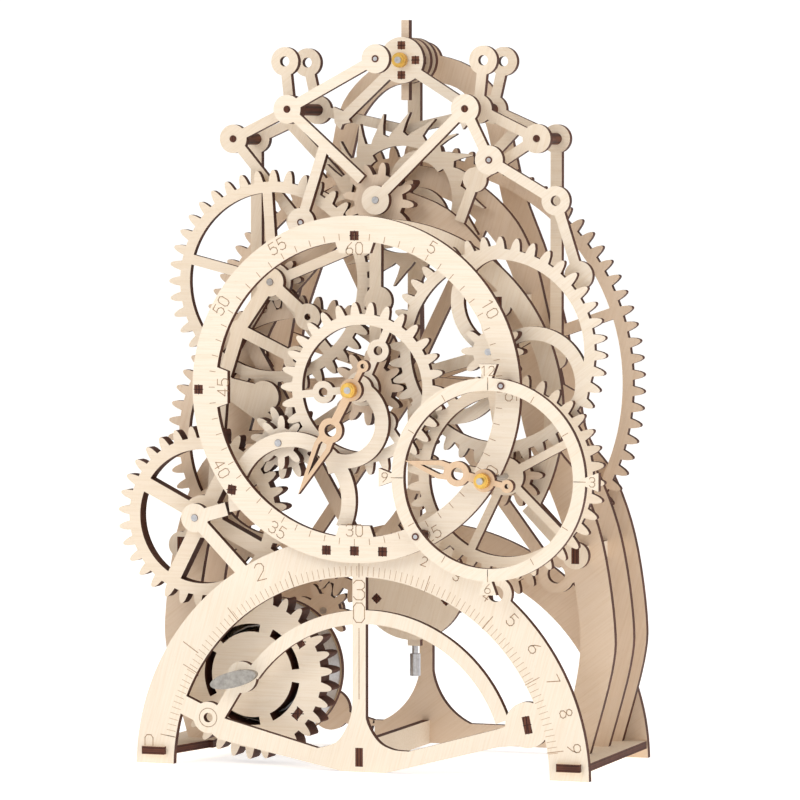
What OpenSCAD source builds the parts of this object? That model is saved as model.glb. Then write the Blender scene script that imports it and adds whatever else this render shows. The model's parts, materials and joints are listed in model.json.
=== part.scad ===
// Skeleton pendulum clock, a laser-cut plywood jigsaw kit.
// Plates lie upright in the XZ plane and stack along Y, front of the clock towards -Y.

/* [Sheet] */
// Thickness of the plywood sheet
ply_t = 3; // [2.8:0.1:3.1]
// Width of the thin bars cut from the sheet
bar_w = 3.8; // [3:0.1:4.5]
// Radius of the round bosses at pivots
boss_r = 5.4; // [4.5:0.1:6]

/* [Frame] */
// Outer radius of the front and rear scale arches
arch_r = 89; // [88:0.5:91]
// Width of the band of the arches
arch_band = 15; // [12:0.5:17]
// Thickness of gap under the base plates
base_z = 3.5; // [3:0.1:4]

/* [Dials] */
// Outer radius of the minute dial
dial_r = 64; // [63:0.5:65]
// Width of the minute dial's band
dial_band = 9.3; // [8:0.1:10]
// Outer radius of the hour dial
hour_dial_r = 37; // [36:0.5:38]
// Width of the hour dial's band
hour_band = 4.6; // [4:0.1:6]

/* [Wheels] */
// Pitch radius per tooth, half the gear module
tooth_r = 1; // [1:0.01:1.01]
// Radius of the steel arbors
arbor_r = 1.25; // [1:0.05:1.5]
// Radial running clearance of an arbor in its plate
run_gap = 0.05; // [0.03:0.01:0.1]
// Teeth of the great wheel
great_n = 88; // [88:1:88]
// Width of a wheel's rim below its teeth
rim_w = 4; // [3:0.1:5]

/* [Pendulum] */
// Radius of the bob
bob_r = 21.5; // [18:0.5:22]
// Height of the bob's centre
bob_z = 65; // [60:1:70]

/* [Hidden] */
$fn = 64;

// The origin is under the middle of the whole clock; all layers are measured
// from the front face of the front arch and shifted by these.
x_shift = 1.33;
y_shift = -28.75;

// Layers along Y: front face of each plate or wheel
y_hour_nut = -23.5;
y_hour_hand = -18.5;
y_hour_dial = -14;
y_minute_nut = -13;
y_minute_hand = -9;
y_minute_dial = -5;
y_front = 0;
y_centre = 3.3;
y_hour_wheel = 6.6;
y_winding = 8;
y_motion = 10.5;
y_barrel = 11;
y_bearing = 18;
y_fourth = 21.5;
y_third = 25;
y_crank = 26.8;
y_frame_1 = 30;
y_drum_cap = 35;
y_escape = 47.4;
y_crown_rear = 51;
y_frame_2 = 54;
y_bob = 58.8;
y_rod = 61.8;
y_great = 66;
y_frame_3 = 71.5;
y_back = 76;

// Axes, as [x, z]
minute_c = [0, 142];
hour_c = [54.6, 110.5];
motion_c = [50, 156.3];
third_c = [-31.9, 121.4];
fourth_c = [-41.9, 180.6];
escape_c = [0, 211.4];
winding_c = [-65.3, 92.7];
barrel_c = [-46.6, 33.6];
great_c = [0, 142];
hub_c = [0, 263.8];
idler_c = barrel_c + 21 * (great_c - barrel_c) / norm(great_c - barrel_c);
arch_c = [0, -1.5];
right_hub = [65.3, 20];
left_boss = [-60, 18];

// Tooth counts
barrel_n = 30;
drive_n = 12;
idler_n = 9;
winding_n = 32;
third_n = 52;
third_pin_n = 12;
third_small_n = 8;
fourth_n = 40;
fourth_pin_n = 8;
escape_n = 20;
escape_pin_n = 12;
centre_n = 30;
minute_pin_n = 12;
motion_n = 40;
motion_pin_n = 10;
hour_n = 36;

// Angle from one axis to another
function heading(a, b) = atan2(b[1] - a[1], b[0] - a[0]);
// Phase that puts wheel b in mesh with wheel a, whose first tooth points at pa
function mesh(a, b, na, nb, pa) =
  let (t = heading(a, b)) t + 180 - 180 / nb + (t - pa) * na / nb;

barrel_p = 4;
drive_p = 0;
idler_p = mesh(barrel_c, idler_c, drive_n, idler_n, drive_p);
great_p = mesh(idler_c, great_c, idler_n, great_n, idler_p);
winding_p = mesh(barrel_c, winding_c, barrel_n, winding_n, barrel_p);
third_p = mesh(winding_c, third_c, winding_n, third_pin_n, winding_p);
small_p = 0;
centre_p = mesh(third_c, minute_c, third_small_n, centre_n, small_p);
third_wheel_p = 0;
fourth_pin_p = mesh(third_c, fourth_c, third_n, fourth_pin_n, third_wheel_p);
fourth_p = 0;
escape_p = mesh(fourth_c, escape_c, fourth_n, escape_pin_n, fourth_p);
minute_p = 0;
motion_p = mesh(minute_c, motion_c, minute_pin_n, motion_n, minute_p);
motion_pin_p = 0;
hour_p = mesh(motion_c, hour_c, motion_pin_n, hour_n, motion_pin_p);

birch = "#ecdcc0";
birch_dark = "#d9c2a0";
steel = "silver";
brass = "goldenrod";

// ---------- helpers ----------
function polar(r, a) = [r * cos(a), r * sin(a)];

// One smooth stretch through four points (Catmull-Rom)
function blend4(a, b, c, d, t) =
  0.5 * (2 * b + (c - a) * t + (2 * a - 5 * b + 4 * c - d) * t * t
  + (3 * b - a - 3 * c + d) * t * t * t);
function smooth(p, n = 5) = [
  for (i = [0 : len(p) - 2], k = [0 : n - 1])
    blend4(p[max(i - 1, 0)], p[i], p[i + 1], p[min(i + 2, len(p) - 1)], k / n),
  p[len(p) - 1]];
function flipped(p) = [for (i = [len(p) - 1 : -1 : 0]) [-p[i][0], p[i][1]]];

module sheet(y, t = ply_t)
  translate([x_shift, y + t + y_shift, 0])
    rotate([90, 0, 0])
      linear_extrude(t) children();

module rod(c, r, y0, y1)
  translate([c[0] + x_shift, y0 + y_shift, c[1]])
    rotate([-90, 0, 0]) cylinder(h = y1 - y0, r = r);

module disc(c, r) translate(c) circle(r);

module bar(p, q, w = bar_w) {
  d = q - p;
  translate(p) rotate(atan2(d[1], d[0])) translate([0, -w / 2]) square([norm(d), w]);
}

module wedge(r, a0, a1)
  polygon([[0, 0], for (k = [0 : 8]) polar(r * 1.2, a0 + (a1 - a0) * k / 8)]);

module arc_band(c, r, w, a0, a1)
  translate(c) intersection() {
    difference() {
      circle(r + w / 2, $fn = 128);
      circle(r - w / 2, $fn = 128);
    }
    wedge(r + w, a0, a1);
  }

module slot(c, w, h, a = 0) translate(c) rotate(a) square([w, h], center = true);

// Outline of a wheel: rounded, slightly tapered teeth
function tooth(n, k, p) =
  let (a = p + 360 * k / n, r = n * tooth_r, s = 360 / n)
  [polar(r - 2.4, a - 0.31 * s), polar(r - 1, a - 0.26 * s), polar(r + 0.4, a - 0.20 * s),
   polar(r + 1.6, a - 0.11 * s), polar(r + 2, a - 0.04 * s), polar(r + 2, a + 0.04 * s),
   polar(r + 1.6, a + 0.11 * s), polar(r + 0.4, a + 0.20 * s), polar(r - 1, a + 0.26 * s),
   polar(r - 2.4, a + 0.31 * s)];
module teeth(n, p) polygon([for (k = [0 : n - 1]) each tooth(n, k, p)]);

module spoked(n, p, spokes, w, hub, rim = rim_w, p2 = 0) {
  inner = n * tooth_r - 2.4 - rim;
  difference() {
    teeth(n, p);
    circle(inner, $fn = 96);
  }
  circle(hub);
  for (k = [0 : spokes - 1]) bar(polar(hub - 1, p2 + 360 * k / spokes),
                                 polar(inner + 1, p2 + 360 * k / spokes), w);
}

module pinion(c, n, p, y, t) sheet(y, t) translate(c) difference() {
  teeth(n, p);
  circle(arbor_r);
}

// ---------- frame ----------
leg_outer = [[80, 6.5], [88.2, 37], [89.2, 55], [84.5, 85], [76, 108], [66, 122], [61.5, 144]];
leg_inner = [[51, 144], [55, 124], [63, 107], [71, 85], [76, 55], [75, 35], [68, 6.5]];

module frame_band(top_outer, top_inner) {
  outer = smooth(concat(leg_outer, top_outer));
  inner = smooth(concat(top_inner, leg_inner));
  difference() {
    polygon(concat(outer, flipped(outer)));
    polygon(concat(inner, flipped(inner)));
  }
  for (s = [-1, 1]) slot([s * 74, 5], 7, 3.2);
}

module arch_2d() {
  difference() {
    intersection() {
      difference() {
        disc(arch_c, arch_r, $fn = 128);
        disc(arch_c, arch_r - arch_band, $fn = 128);
      }
      translate([-100, 0]) square([200, 100]);
    }
    for (s = [-1, 1]) slot([s * 81.5, base_z + ply_t / 2], 9, ply_t);
  }
  bar([0, 9], [0, 76.3], 5.2);
}

// Post foot that flares into the beam below it
module flare(z, r, w = 4.6)
  difference() {
    translate([-r - w / 2, z]) square([2 * r + w, r]);
    for (s = [-1, 1]) disc([s * (r + w / 2), z + r], r);
  }

module base_plates() color(birch_dark) {
  translate([x_shift, y_shift, base_z]) for (s = [0, 1]) mirror([s, 0, 0])
    difference() {
      linear_extrude(ply_t) {
        polygon([[67.5, 24], [69, 24], [74.6, ply_t], [88.4, ply_t], [88.4, y_back],
                 [74.6, y_back], [69, y_back - 14], [67.5, y_back - 14]]);
        translate([77, -2]) square([9, y_back + ply_t + 4]);
      }
      for (y = [y_frame_1, y_frame_2, y_frame_3])
        translate([70.5, y, -1]) cube([7, ply_t, ply_t + 2]);
    }
  // Board on edge that ties the two arches together
  translate([x_shift - ply_t / 2, y_shift, 0]) rotate([90, 0, 90]) linear_extrude(ply_t)
    polygon([[0, 2], [y_back + ply_t, 2], [y_back + ply_t, 9], [y_back, 9], [y_back, 11],
             [ply_t, 11], [ply_t, 9], [0, 9]]);
}

module front_arch() color(birch) sheet(y_front) difference() {
  union() {
    arch_2d();
    arc_band([3, 1.6], 56, 5.2, 20, 144);
    polygon(concat([[-60, 20], [-52.7, 17.7]],
                   smooth([[-16.4, 8.3], [-9.2, 10.7], [-5.3, 15.8], [-3, 22.1], [-2.6, 30]]),
                   smooth([[2.6, 30], [2.7, 19.8], [7.1, 12], [12.9, 8.9], [19.4, 8.4]]),
                   [[54.1, 18.1], [65, 22], [65, 12.6], [54.2, 11.4], [10.3, 0], [-6.6, 0],
                    [-56.1, 10.1], [-61, 14]]));
    bar([-73.5, 24], left_boss, 7);
    bar([-57, 17], barrel_c, 5);
    bar(right_hub, [78, 23.4], 13);
    disc(barrel_c, 5.9);
    disc(left_boss, 5.9);
    disc(right_hub, 8.5);
    disc(winding_c, boss_r);
    bar(winding_c, [-52.5, 96.4], 5);
    bar(winding_c, [-44, 71], 5);
    disc([53.1, 67.8], 6.2);
  }
  disc(left_boss, 1.8);
  disc(barrel_c, 2.05);
  disc(winding_c, arbor_r + run_gap);
  disc([53.1, 67.8], 3);
  slot(right_hub, 3, 6.5, 12);
  slot([0, 5.5], 3, 7);
  for (x = [-11, 0, 11]) slot([x, 82.5], 3.4, 3.4);
}

module front_bridge() color(birch) sheet(y_front) difference() {
  union() {
    arc_band([-26.5, 100.5], 22.4, 5.6, -27, 192);
    arc_band([-5.5, 129.5], 14.4, 5.2, -118, 62);
    disc(minute_c, 5);
    bar([-11.5, 117.5], [-9.5, 111], 5);
  }
  disc(third_c, arbor_r + run_gap);
  disc(minute_c, arbor_r + run_gap);
  slot([-48.4, 104], 3.4, 3.4, -9);
  disc(hour_c, 30);
}

bearing_posts = [[0, 200.7], [-61.6, 141.1]];
module bearing_plate() color(birch_dark) sheet(y_bearing) difference() {
  union() {
    for (c = [motion_c, hour_c, third_c, fourth_c, winding_c, [-61.6, 141.1]]) disc(c, boss_r);
    disc(minute_c, 8);
    disc([-44.5, 137.5], 6);
    disc([1, 174], 5.4);
    bar([0, 198], minute_c, 4.6);
    bar(fourth_c, [-54.5, 162.7], 5);
    bar([-54.5, 162.7], [-61.6, 141.1], 5);
    for (p = [[fourth_c, [-26.9, 167.7]], [[-54.5, 162.7], [-31.5, 151.8]]]) {
      bar(p[0], p[1], 4.4);
      disc(p[1], 5);
    }
    disc([-54.5, 162.7], 3.6);
    bar([-61.6, 141.1], third_c, 5);
    bar([-61.6, 141.1], [-44.5, 137.5], 8);
    bar(third_c, winding_c, 5);
    bar(minute_c, third_c, 4.5);
    bar(minute_c, motion_c, 4.5);
    bar([-61.6, 141.1], winding_c, 5);
    bar(winding_c, [-78, 81], 6);
    arc_band([2, 133.5], 67.5, 7, -30, 92.5);
    bar(motion_c, [62, 163], 5);
    bar(hour_c, [66, 113], 5);
    bar([60, 99.5], [78, 81], 7);
    arc_band([-40, 110], 27, 5, 196, 262);
    disc([-78, 81], 5);
    disc([78, 81], 5);
    disc([48, 173], 5);
  }
  for (c = [minute_c, motion_c, hour_c, third_c, fourth_c, winding_c])
    disc(c, arbor_r + run_gap);
  for (c = [[-26.9, 167.7], [-31.5, 151.8]]) disc(c, arbor_r);
  slot([-61.6, 141.1], 3.4, 3.4);
  slot([0, 198.6], 3.4, 3.4);
  for (s = [-1, 1]) slot([s * 78, 81], 3, 6);
  slot([48, 173], 3, 6);
}

module front_frame() color(birch_dark) sheet(y_frame_1) difference() {
  union() {
    frame_band([[60, 156], [53.5, 174], [42, 190], [24, 208], [0, 217]],
               [[0, 204], [18, 195], [31, 182], [43, 168], [49, 156]]);
    disc(escape_c, boss_r);
    disc(third_c, boss_r);
    disc(hour_c, boss_r);
    bar(third_c, [-58, 121.4], 5);
    bar(third_c, [-55, 150], bar_w);
    bar(hour_c, [66, 112], 5);
    disc(motion_c, boss_r);
    disc(fourth_c, boss_r);
    disc([66.9, 72.9], 7);
    bar([66.9, 72.9], [82, 80], 11);
  }
  for (c = [motion_c, hour_c, third_c, fourth_c, escape_c]) disc(c, arbor_r + run_gap);
  disc([66.9, 72.9], 3.4);
  for (s = [-1, 1]) slot([s * 78, 81], 3, 6);
  for (s = [-1, 1]) slot([s * 48, 173], 3, 6);
}

module middle_frame() color(birch_dark) sheet(y_frame_2) difference() {
  union() {
    frame_band([[58.5, 156], [55, 172], [50, 190], [41, 206], [24, 219.5], [0, 225]],
               [[0, 216], [19, 210], [33, 198], [41, 185], [45, 171], [48, 156]]);
    disc(escape_c, 6.5);
    bar(escape_c, [0, 220], 6);
    disc(great_c, 7);
    bar(great_c, [-54, 138], 6);
    bar(great_c, [54, 138], 6);
    bar(great_c, [30, 203], 5);
    bar(great_c, [-30, 203], 5);
  }
  disc(escape_c, arbor_r + run_gap);
  for (s = [-1, 1]) slot([s * 78, 81], 3, 6);
  for (s = [-1, 1]) slot([s * 48, 173], 3, 6);
}

module back_frame() color(birch_dark) sheet(y_frame_3) difference() {
  union() {
    frame_band([[57, 165], [50, 190], [41.5, 212], [37, 230], [32, 248.5], [18.5, 262],
                [0, 267.5]],
               [[0, 256.5], [14, 253.5], [24, 243], [28, 230], [33, 208], [41, 186],
                [48, 165]]);
    disc(hub_c, 7.5);
    disc(great_c, 6.5);
    for (s = [-1, 1]) bar(great_c, [s * 54, 139], 5);
  }
  disc(hub_c, 2 + run_gap);
  disc(great_c, arbor_r);
  for (s = [-1, 1]) slot([s * 78, 81], 3, 6);
}

module back_arch() color(birch_dark) sheet(y_back) difference() {
  union() {
    arch_2d();
    bar([-21, 6.2], [75, 6.2], 8);
    flare(8, 26);
    bar([-22, 8], [-39.2, 12.6], 4.6);
    disc([-39.2, 13.6], 7.9);
    disc(barrel_c, 6);
    bar(barrel_c, [-39.2, 13.6], 5);
    disc(idler_c, 4.4);
    bar(idler_c, [-44.5, 61.8], 5);
    bar(barrel_c, idler_c, 4);
  }
  disc(barrel_c, 2.05);
  disc(idler_c, arbor_r + run_gap);
  slot([0, 5.5], 3, 7);
}

module frame_ties() color(birch) {
  for (s = [-1, 1])
    sheet(y_bearing, y_frame_3 + ply_t - y_bearing) slot([s * 78, 81], 3, 6);
  sheet(y_bearing, y_frame_2 + ply_t - y_bearing) slot([48, 173], 3, 6);
  sheet(y_frame_1, y_frame_2 + ply_t - y_frame_1) slot([-48, 173], 3, 6);
}

module dial_ties() color(birch_dark) {
  sheet(y_minute_dial, y_bearing + ply_t - y_minute_dial) {
    slot([-61.6, 141.1], 3.4, 3.4);
    slot([0, 198.6], 3.4, 3.4);
  }
  sheet(y_minute_dial, y_front + ply_t - y_minute_dial) {
    for (x = [-11, 0, 11]) slot([x, 82.5], 3.4, 3.4);
    slot([-48.4, 104], 3.4, 3.4, -9);
  }
  for (c = dial_joints) {
    rod(c, 1, y_hour_dial - 0.4, y_minute_dial + ply_t);
    rod(c, 2, y_hour_dial + ply_t, y_minute_dial);
  }
}

// ---------- dials ----------
module minute_dial() color(birch) sheet(y_minute_dial) difference() {
  union() {
    difference() {
      disc(minute_c, dial_r, $fn = 128);
      disc(minute_c, dial_r - dial_band, $fn = 128);
    }
    for (a = [90, 180, 270]) translate(minute_c) rotate(a)
      polygon([[dial_r - dial_band - 4.6, -6], [dial_r - dial_band - 4.6, 6],
               [dial_r - 4, 9.5], [dial_r - 4, -9.5]]);
  }
  slot([-61.6, 141.1], 3.4, 3.4);
  slot([0, 198.6], 3.4, 3.4);
  for (x = [-11, 0, 11]) slot([x, 82.5], 3.4, 3.4);
  slot([-48.4, 104], 3.4, 3.4, -9);
  for (c = dial_joints) disc(c, 1);
  disc(hour_c, 2);
}

dial_joints = [[27, 89.1], [59.7, 144.7]];
module hour_dial() color(birch) sheet(y_hour_dial) difference() {
  union() {
    disc(hour_c, hour_dial_r, $fn = 128);
    for (k = [0 : 3]) translate(hour_c) rotate(90 * k)
      polygon([[hour_dial_r - 1, -1.2], [hour_dial_r + 5, -3.4], [hour_dial_r + 5, 3.4],
               [hour_dial_r - 1, 1.2]]);
  }
  disc(hour_c, hour_dial_r - hour_band, $fn = 128);
  for (c = dial_joints) disc(c, 1);
}

// ---------- crown of linked arms ----------
crown_b = [35, 245.2];
crown_h = [44.4, 226.3];
crown_i = [70.2, 211.4];
crown_j = [79, 184];
crown_s = [-29.6, 203];

module link(pts, r = boss_r, w = bar_w) {
  for (p = pts) disc(p, r);
  for (k = [0 : len(pts) - 2]) bar(pts[k], pts[k + 1], w);
}

module crown_front_left() color(birch) sheet(y_bearing) difference() {
  union() {
    link([hub_c, [-35, 245.2]]);
    disc([-29.6, 203], boss_r);
    bar([-35, 245.2], [-5.5, 219], bar_w);
    bar([-20.2, 232], crown_s, bar_w);
    disc([-35, 245.2], boss_r);
  }
  disc([-35, 245.2], 1);
}

module crown_front_right() color(birch) sheet(y_bearing) difference() {
  union() {
    link([escape_c, crown_b, crown_h, crown_i, crown_j]);
  }
  disc(crown_b, 1);
  disc(escape_c, arbor_r + run_gap);
  disc(crown_i, 1.9);
}

module crown_crank_left() color(birch_dark) sheet(y_crank) difference() {
  union() {
    link([[-39.2, 263.2], [-37.2, 245.2]]);
    link([[-37.2, 245.2], [-60, 234.2]]);
    bar([-60, 234.2], [-34, 203.5], bar_w);
    disc([-34, 203.5], 4.6);
  }
  disc([-39.2, 263.2], 1.9);
  disc([-35, 245.2], 1);
  disc([-60, 234.2], 1);
}

module crown_crank_right() color(birch_dark) sheet(y_crank) difference() {
  union() {
    link([[39.2, 263.2], [37.2, 245.2]]);
    link([[37.2, 245.2], [60, 234.2]]);
    bar([60, 234.2], [36, 219], bar_w);
    bar([36, 219], [30, 203.5], bar_w);
    disc([36, 219], 4.6);
  }
  disc([39.2, 263.2], 1.9);
  disc(crown_b, 1);
  disc([60, 234.2], 1);
}

module crown_rear(s) sheet(y_crown_rear) mirror([s, 0]) difference() {
  union() {
    link([[-39.2, 263.2], [-35, 245.2]]);
    link([[-35, 245.2], [-60, 234.2]]);
    bar([-60, 234.2], [-60, 152], bar_w + 0.6);
    bar([-60, 152], [-56, 146], 5);
    disc([-60, 152], 4);
    bar([-35, 245.2], [-0.1, 246.6 - 9], bar_w);
    bar([-46, 239.6], [-24, 217], bar_w);
  }
  disc([-39.2, 263.2], 1.9);
  disc([-35, 245.2], 1);
  disc([-60, 234.2], 1);
}
module crown_rear_left() color(birch_dark) crown_rear(0);
module crown_rear_right() color(birch_dark) crown_rear(1);

module crown_pins() color(birch_dark) for (s = [-1, 1]) {
  rod([s * 35, 245.2], 1, y_bearing - 0.4, y_crown_rear + ply_t);
  rod([s * 35, 245.2], 2.2, y_crank + ply_t, y_crown_rear);
  rod([s * 35, 245.2], 2.2, y_bearing + ply_t, y_crank);
  rod([s * 60, 234.2], 1, y_crank - 0.4, y_crown_rear + ply_t);
  rod([s * 60, 234.2], 2.2, y_crank + ply_t, y_crown_rear);
}

module great_wheel_stud() color(steel) {
  rod(great_c, arbor_r, y_great - 0.8, y_frame_3 + ply_t);
  rod(great_c, 2.6, y_great - 0.8, y_great - 0.2);
}

// Leaf-shaped point that stands out to the right of the bearing plate
module finial_spike() color(birch_dark) sheet(y_frame_1 + ply_t)
  polygon([[50, 137], [58, 137], [66, 134], [76.5, 139], [66, 144.5], [58, 142], [50, 144]]);

// ---------- going train ----------
module great_wheel() color(birch_dark) sheet(y_great) translate(great_c) difference() {
  spoked(great_n, great_p, 5, 4.4, 9, rim_w, 19);
  circle(arbor_r + run_gap);
}

module idler_pinion() color(birch_dark)
  pinion(idler_c, idler_n, idler_p, y_great, ply_t);
module idler_arbor() color(steel) rod(idler_c, arbor_r, y_great - 0.6, y_back + ply_t);

module barrel_wheel() color(birch_dark) sheet(y_barrel, 3 * ply_t) translate(barrel_c)
  difference() {
    teeth(barrel_n, barrel_p);
    circle(2.4);
    for (k = [0 : 4]) rotate(72 * k + 8) arc_band([0, 0], 17.6, 3, 0, 56);
    for (k = [0 : 4]) rotate(72 * k + 34) translate([23, 0]) square([2.8, 4.4], center = true);
  }

module barrel_posts() color(birch_dark) {
  sheet(y_barrel, y_drum_cap + ply_t - y_barrel) translate(barrel_c)
    for (k = [0 : 4]) rotate(72 * k + 34) translate([23, 0]) square([2.8, 4.4], center = true);
}

// Cap of the drum, with a sleeve back to the pinion that drives the great wheel
module drive_pinion() color(birch_dark) difference() {
  union() {
    sheet(y_drum_cap) translate(barrel_c) difference() {
      circle(27, $fn = 96);
      for (k = [0 : 4]) rotate(72 * k + 34) translate([23, 0]) square([2.8, 4.4], center = true);
    }
    rod(barrel_c, 5, y_drum_cap + 1, y_great + 1);
    sheet(y_great) translate(barrel_c) teeth(drive_n, drive_p);
  }
  rod(barrel_c, 2.4, y_drum_cap - 1, y_great + ply_t + 1);
}

// Flat steel spring, wound as a spiral strip in a steel drum behind the barrel wheel
spring_turns = 7;
spring_in = 4;
spring_out = 19;
function coil(o) = [for (k = [0 : spring_turns * 20])
  polar(spring_in + (spring_out - spring_in) * k / (spring_turns * 20) + o, 18 * k)];
module mainspring() color(steel)
  sheet(y_barrel + 3 * ply_t + 0.6, 14) translate(barrel_c) {
    polygon(concat(coil(0), [for (k = [spring_turns * 20 : -1 : 0]) coil(0.5)[k]]));
    difference() {
      circle(26.6, $fn = 96);
      circle(25.8, $fn = 96);
    }
  }

module winding_arbor() color(steel) {
  rod(barrel_c, 2, y_front - 5, y_back + ply_t);
}

function oval(a, b) = [for (k = [0 : 35]) [a * cos(10 * k), b * sin(10 * k)]];
module winding_key() color(steel) {
  sheet(y_front - 9, 2.6) translate(barrel_c) rotate(15) polygon(oval(9.4, 3));
  difference() {
    rod(barrel_c, 2.9, y_front - 6.4, y_front - 0.4);
    rod(barrel_c, 2, y_front - 5, y_front);
  }
}

module winding_wheel() color(birch) sheet(y_winding, 2 * ply_t) translate(winding_c)
  difference() {
    spoked(winding_n, winding_p, 4, 5.6, 8, rim_w + 0.4, 63);
    circle(arbor_r);
  }
module winding_wheel_arbor() color(steel) rod(winding_c, arbor_r, y_front - 0.4, y_bearing + ply_t);

module third_wheel() color(birch_dark) sheet(y_third) translate(third_c) difference() {
  spoked(third_n, third_wheel_p, 4, 5, 8, rim_w, 30);
  circle(arbor_r);
}
module third_pinions() color(birch) {
  pinion(third_c, third_pin_n, third_p, y_winding, 2 * ply_t);
  pinion(third_c, third_small_n, small_p, y_centre, y_winding - y_centre);
}
module third_arbor() color(steel) rod(third_c, arbor_r, y_front - 0.4, y_frame_1 + ply_t);

module fourth_wheel() color(birch) sheet(y_fourth) translate(fourth_c) difference() {
  spoked(fourth_n, fourth_p, 5, bar_w, 7, rim_w, 22);
  circle(arbor_r);
}
module fourth_pinion() color(birch)
  pinion(fourth_c, fourth_pin_n, fourth_pin_p, y_fourth + ply_t, 3.8);
module fourth_arbor() color(steel) rod(fourth_c, arbor_r, y_bearing - 0.4, y_frame_1 + ply_t);

// Slender hooked tooth that leans clockwise
function escape_tooth(k) = let (s = 360 / escape_n, a = 84.7 - s * k)
  [polar(24, a + 0.98 * s), polar(25.4, a + 0.8 * s), polar(27.4, a + 0.5 * s),
   polar(30.2, a + 0.22 * s), polar(33, a), polar(32.8, a - 0.03 * s),
   polar(28.6, a + 0.12 * s), polar(25.4, a + 0.22 * s)];
module escape_wheel() color(birch) sheet(y_escape) translate(escape_c) difference() {
  union() {
    difference() {
      polygon([for (k = [0 : escape_n - 1]) each escape_tooth(k)]);
      circle(20.2);
    }
    circle(7);
    for (k = [0 : 3]) rotate(90 * k + 40) arc_band([10, 0], 10, 4.4, -10, 190);
  }
  circle(arbor_r);
}
module escape_pinions() color(birch) {
  pinion(escape_c, escape_pin_n, escape_p, y_fourth, 4.6);
  pinion(escape_c, 9, 0, y_frame_1 + ply_t + 3, 8);
}
module escape_arbor() color(steel) rod(escape_c, arbor_r, y_bearing - 0.4, y_frame_2 + ply_t);

// ---------- hands and motion work ----------
module centre_wheel() color(birch) sheet(y_centre) translate(minute_c) difference() {
  union() {
    spoked(centre_n, centre_p, 3, 2.8, 6.5, rim_w, 66);
    for (k = [0 : 2]) rotate(66 + 120 * k) disc([15.4, 0], 4.2);
  }
  for (k = [0 : 2]) rotate(66 + 120 * k) disc([15.4, 0], 1.7);
  circle(arbor_r);
}
module minute_pinion() color(birch_dark)
  pinion(minute_c, minute_pin_n, minute_p, y_motion - 0.6, 4.4);
module minute_arbor() color(steel) rod(minute_c, arbor_r, y_minute_nut, y_bearing + ply_t);

// Hand with one ring, a long tapering point and a short tail
module hand_2d(len, ring, tail) {
  circle(4.2);
  bar([0, 0], [ring - 3, 0], 3.2);
  bar([-tail, 0], [0, 0], 2);
  difference() {
    disc([ring, 0], 4.6);
    disc([ring, 0], 2.3);
  }
  difference() {
    polygon([[ring + 3.4, -3], [ring + 7, -3.4], [len, 0], [ring + 7, 3.4], [ring + 3.4, 3]]);
    polygon([[ring + 5.2, -1.2], [ring + 6.8, -1.6], [0.3 * ring + 0.7 * len, 0],
             [ring + 6.8, 1.6], [ring + 5.2, 1.2]]);
  }
}
module minute_hand() color(birch_dark) sheet(y_minute_hand) translate(minute_c)
  rotate(heading(minute_c, [-20.7, 103])) difference() {
    union() {
      hand_2d(44, 17, 10);
      translate([-10, 0]) circle(2.2);
    }
    circle(arbor_r);
    translate([-10, 0]) circle(0.9);
  }
module nut(c, y) color(brass) difference() {
  union() {
    rod(c, 2.9, y + 0.8, y + 4);
    rod(c, 2.2, y, y + 0.8);
  }
  rod(c, arbor_r, y - 1, y + 5);
}
module minute_nut() nut(minute_c, y_minute_nut);

module motion_wheel() color(birch) sheet(y_motion) translate(motion_c) difference() {
  union() {
    difference() {
      teeth(motion_n, motion_p);
      circle(motion_n * tooth_r - 2.4 - rim_w, $fn = 96);
    }
    circle(8);
    for (k = [0 : 2]) rotate(120 * k - 40) arc_band([18.5, 0], 18.5, 5, 20, 176);
  }
  circle(arbor_r);
}
module motion_pinion() color(birch)
  pinion(motion_c, motion_pin_n, motion_pin_p, y_centre + 2, y_motion - y_centre - 2);
module motion_arbor() color(steel) rod(motion_c, arbor_r, y_front, y_frame_1 + ply_t);

module hour_wheel() color(birch_dark) sheet(y_hour_wheel) translate(hour_c) difference() {
  spoked(hour_n, hour_p, 5, 3, 7, rim_w, 28);
  circle(arbor_r);
}
module hour_collet() color(birch_dark) sheet(y_motion + ply_t + 0.6, 3.6) translate(hour_c)
  difference() {
    teeth(10, 0);
    circle(arbor_r);
  }
module hour_arbor() color(steel) rod(hour_c, arbor_r, y_hour_nut, y_frame_1 + ply_t);
module hour_hand() color(birch_dark) sheet(y_hour_hand) translate(hour_c)
  rotate(heading(hour_c, [29.4, 116])) difference() {
    union() {
      hand_2d(31, 10.4, 8);
      translate([-9, 0]) circle(2.4);
    }
    circle(arbor_r);
    translate([-9, 0]) circle(0.9);
  }
module hour_nut() nut(hour_c, y_hour_nut + 1);

// ---------- pendulum ----------
module anchor() color(birch) sheet(y_escape) difference() {
  union() {
    disc(hub_c, 8.7);
    for (s = [-1, 1]) {
      bar([s * 3, 260.8], s < 0 ? [-24.6, 241] : [25.6, 246.6], bar_w);
      polygon([[s * 22.6, 244.4], [s * 27.4, 246.4], [s * 26.8, 240.2], [s * 24.4, 237.7],
               [s * 23.6, 239.8], [s * 20.4, 240.4]]);
    }
  }
  disc(hub_c, 2);
  for (k = [0 : 3]) translate(hub_c) rotate(90 * k) slot([5.6, 0], 3, 3);
}

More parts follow.
